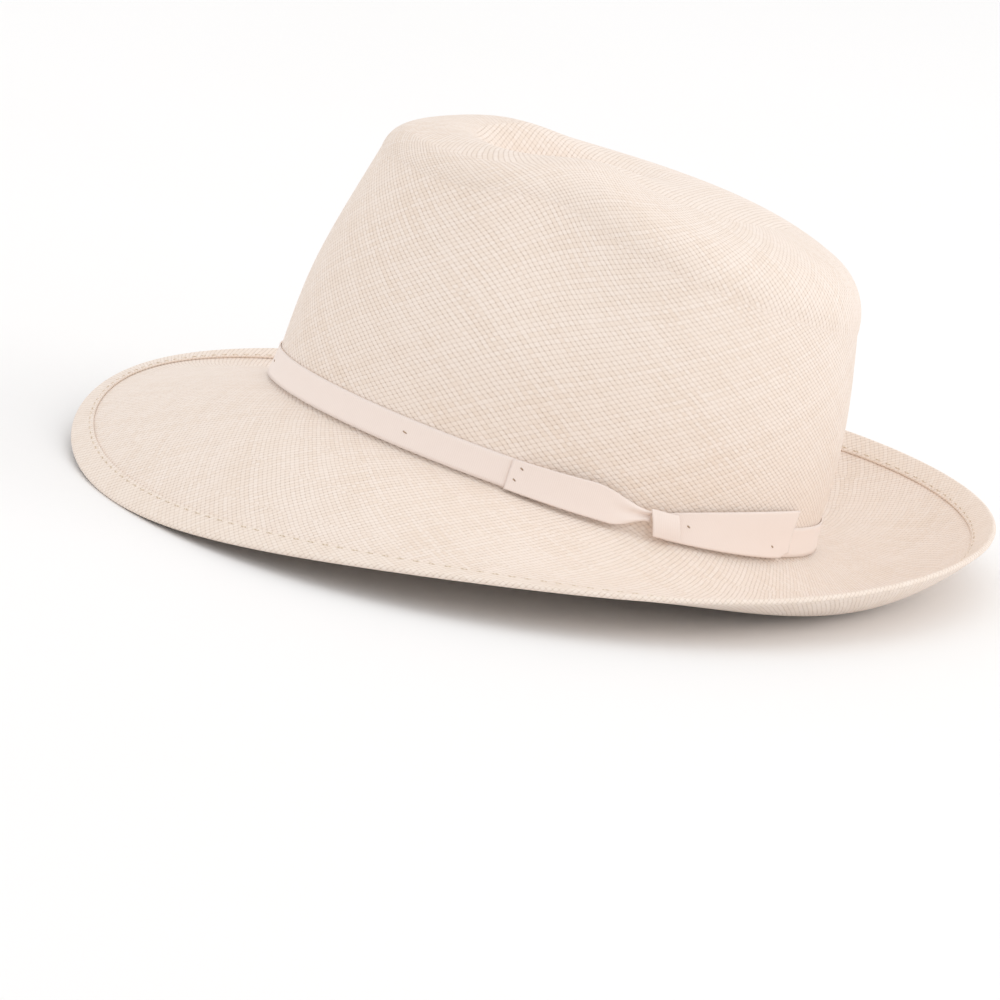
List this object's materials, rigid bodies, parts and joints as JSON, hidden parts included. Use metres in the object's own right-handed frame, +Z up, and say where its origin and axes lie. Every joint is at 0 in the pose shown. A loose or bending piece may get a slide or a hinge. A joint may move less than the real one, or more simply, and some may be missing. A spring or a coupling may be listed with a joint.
{
  "type": "panama hat",
  "caption": "Woven straw hat with a dented and pinched crown, a brim snapped down at the front and up at the back, a folded hem, a narrow ribbon band with a flat side bow, and an inner sweatband",
  "frame": {"origin": "centre of the head opening: the middle of the oval where the crown leaves the brim", "axes": "+Z up from the table the hat stands on, -Y towards the front of the hat, +X towards the wearer's left, where the bow is. The head opening is tilted 9.8 degrees about X, front up"},
  "size_m": [0.2886, 0.3264, 0.1324],
  "materials": {
    "straw": "bleached toquilla straw, fine weave, matte with a faint silky sheen",
    "hem_straw": "the same straw folded over and stitched down along the brim's edge",
    "hem_thread": "fine cotton thread close to the straw's colour",
    "ribbon": "grosgrain ribbon, pale ivory pink, fine cross ribs",
    "tack_thread": "beige sewing thread, short tacks",
    "sweatband_leather": "thin undyed sheepskin, soft satin",
    "reed_cover": "woven tape rolled over a flexible reed",
    "sweatband_thread": "beige cotton thread"
  },
  "bodies": {
    "root": {"straw_body": "straw", "brim_hem": "hem_straw", "hem_stitching": "hem_thread", "hat_band": "ribbon", "band_tack_stitches": "tack_thread", "bow_loop": "ribbon", "bow_knot": "ribbon", "bow_tail": "ribbon", "bow_tack_stitches": "tack_thread", "sweatband": "sweatband_leather", "sweatband_reed": "reed_cover", "sweatband_stitching": "sweatband_thread", "sweatband_seam_stitches": "sweatband_thread"}
  },
  "joints": []
}
